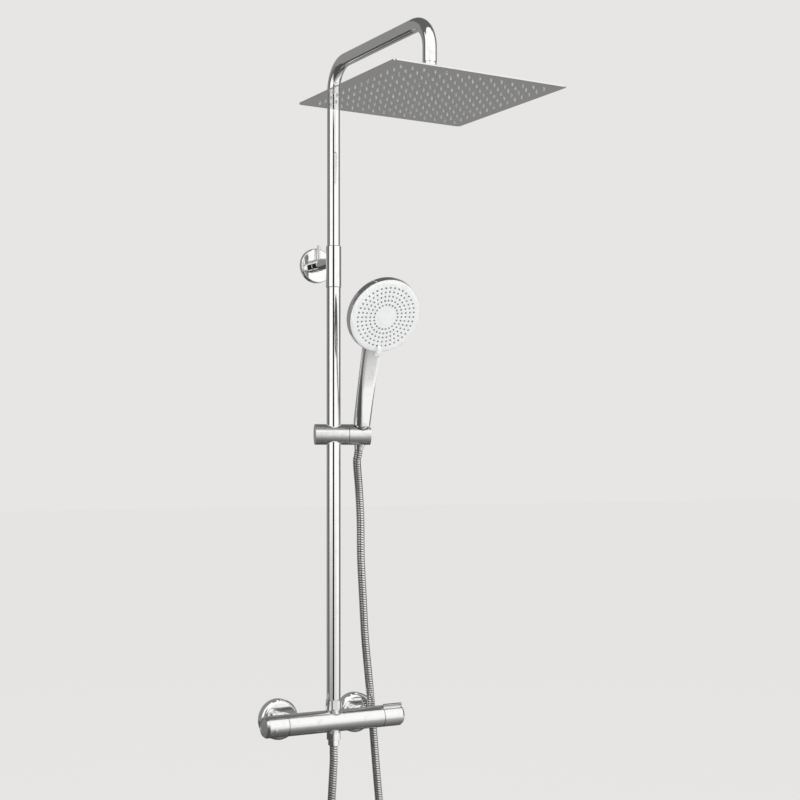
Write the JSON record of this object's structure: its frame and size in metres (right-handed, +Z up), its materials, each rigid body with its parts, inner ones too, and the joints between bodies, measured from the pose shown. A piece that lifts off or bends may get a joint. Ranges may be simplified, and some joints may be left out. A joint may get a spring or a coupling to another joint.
{
  "type": "rainfall shower column",
  "caption": "Wall-hung shower column: bar mixer with two knobs, telescopic riser with overhead arm, square rain head, sliding hand shower and hose.",
  "frame": {"origin": "midpoint between the two wall inlets, on the face of the wall", "axes": "+X to the right along the wall, +Y into the wall, +Z up"},
  "size_m": [0.3, 0.55, 1.6195],
  "materials": {
    "chrome": "bright plating",
    "polished_steel": "mirror polish",
    "brass": "turned",
    "steel": "plain stainless",
    "white_plastic": "moulded",
    "ceramic": "lapped",
    "plated_plastic": "chrome plating on moulded plastic",
    "grey_silicone": "matt silicone",
    "black_rubber": "matt",
    "hose_steel": "interlocked polished strip"
  },
  "bodies": {
    "root": {"valve_body": "chrome", "inlet_nipples": "brass", "check_valves": "white_plastic", "union_nuts": "chrome", "seal_washers": "black_rubber", "wall_unions": "chrome", "roses": "chrome", "thermostatic_cartridge": "white_plastic", "cartridge_nuts": "brass", "stop_rings": "black_rubber", "flow_cartridge": "white_plastic", "riser_tail": "brass", "riser_nut": "chrome", "lower_riser": "chrome", "riser_collar": "chrome", "collar_screw": "steel", "bracket_plate": "steel", "bracket_flange": "chrome", "bracket_socket": "chrome", "bracket_arm": "chrome", "hose_nut": "chrome", "lower_ferrule": "chrome", "hose": "hose_steel"},
    "temperature_control": {"temperature_knob": "chrome", "temperature_hub": "white_plastic", "temperature_cap": "chrome", "temperature_screw": "steel", "temperature_spindle": "brass", "safety_spring": "steel"},
    "safety_stop": {"safety_button": "chrome"},
    "regulator": {"regulator_sleeve": "brass"},
    "flow_control": {"flow_knob": "chrome", "flow_hub": "white_plastic", "flow_cap": "chrome", "flow_screw": "steel", "flow_spindle": "brass", "ceramic_disc": "ceramic"},
    "arm_guide": {"guide_bush": "white_plastic"},
    "arm": {"shower_arm": "chrome", "ball_stud": "chrome"},
    "head_bearing": {"ball_seat": "white_plastic"},
    "head": {"head_nut": "chrome", "head_cover": "polished_steel", "head_plate": "polished_steel", "head_nozzles": "grey_silicone"},
    "bracket_lock": {"lock_pin": "chrome"},
    "slider_bearing": {"slider_liner": "white_plastic"},
    "slider": {"slider_body": "chrome", "holder_axle": "steel"},
    "clamp": {"clamp_knob": "chrome"},
    "clamp_pad": {"clamp_shoe": "white_plastic"},
    "hand_shower_holder": {"holder": "chrome", "holder_liner": "black_rubber"},
    "hose_end": {"hose_cone": "chrome", "upper_ferrule": "chrome"},
    "hand_shower": {"handset_shell": "plated_plastic", "handset_face": "white_plastic", "handset_nozzles": "grey_silicone", "restrictor": "white_plastic"},
    "spray_selector": {"spray_dial": "white_plastic"}
  },
  "joints": [
    {"name": "temperature_turn", "type": "hinge", "parent": "root", "child": "temperature_control", "pos_m": [-0.112, -0.07, 0], "axis": [-1, 0, 0], "range_deg": [-150, 60]},
    {"name": "safety_press", "type": "slide", "parent": "temperature_control", "child": "safety_stop", "axis": [0, 0.9613, 0.2756], "range_m": [0, 0.0025], "stiffness_N_per_m": 600, "springref_m": -0.002, "deforming": ["safety_spring"]},
    {"name": "regulator_slide", "type": "slide", "parent": "root", "child": "regulator", "axis": [-1, 0, 0], "range_m": [-0.003, 0.0015]},
    {"name": "flow_turn", "type": "hinge", "parent": "root", "child": "flow_control", "pos_m": [0.112, -0.07, 0], "axis": [1, 0, 0], "range_deg": [-90, 90]},
    {"name": "arm_height", "type": "slide", "parent": "root", "child": "arm_guide", "axis": [0, 0, 1], "range_m": [-0.25, 0.2]},
    {"name": "arm_swing", "type": "hinge", "parent": "arm_guide", "child": "arm", "pos_m": [0, -0.07, 0.7], "axis": [0, 0, 1], "range_deg": [-60, 60]},
    {"name": "head_turn", "type": "hinge", "parent": "arm", "child": "head_bearing", "pos_m": [0, -0.384, 1.024], "axis": [0, 0, 1], "continuous": true},
    {"name": "head_tilt", "type": "hinge", "parent": "head_bearing", "child": "head", "pos_m": [0, -0.384, 1.024], "axis": [1, 0, 0], "range_deg": [-12, 12]},
    {"name": "lock_pin_turn", "type": "hinge", "parent": "root", "child": "bracket_lock", "pos_m": [0, -0.014, 0.8055], "axis": [0, 0, 1], "range_deg": [0, 180]},
    {"name": "slider_height", "type": "slide", "parent": "root", "child": "slider_bearing", "axis": [0, 0, 1], "range_m": [-0.38, 0.2], "deforming": ["hose"]},
    {"name": "slider_turn", "type": "hinge", "parent": "slider_bearing", "child": "slider", "pos_m": [0, -0.07, 0.491], "axis": [0, 0, 1], "range_deg": [-45, 45], "deforming": ["hose"]},
    {"name": "clamp_turn", "type": "hinge", "parent": "slider", "child": "clamp", "pos_m": [-0.02631, -0.06042, 0.491], "axis": [-0.9397, 0.342, 0], "range_deg": [0, 90]},
    {"name": "clamp_release", "type": "slide", "parent": "slider", "child": "clamp_pad", "axis": [-0.9397, 0.342, 0], "range_m": [0, 0.0006]},
    {"name": "holder_tilt", "type": "hinge", "parent": "slider", "child": "hand_shower_holder", "pos_m": [0.04398, -0.08601, 0.491], "axis": [0.9397, -0.342, 0], "range_deg": [-10, 35], "deforming": ["hose"]},
    {"name": "hand_shower_lift", "type": "slide", "parent": "hand_shower_holder", "child": "hose_end", "axis": [-0.0705, -0.3722, 0.9255], "range_m": [0, 0.045], "deforming": ["hose"]},
    {"name": "hand_shower_turn", "type": "hinge", "parent": "hose_end", "child": "hand_shower", "pos_m": [0.04398, -0.08601, 0.491], "axis": [-0.0705, -0.3722, 0.9255], "range_deg": [-60, 60]},
    {"name": "spray_select", "type": "hinge", "parent": "hand_shower", "child": "spray_selector", "pos_m": [0.0272, -0.19063, 0.68901], "axis": [-0.0391, -0.8975, -0.4393], "range_deg": [-25, 25]}
  ],
  "couplings": [
    {"joint": "regulator_slide", "follows": "temperature_turn", "m_per_rad": 0.001},
    {"joint": "clamp_release", "follows": "clamp_turn", "m_per_rad": 0.00038}
  ]
}
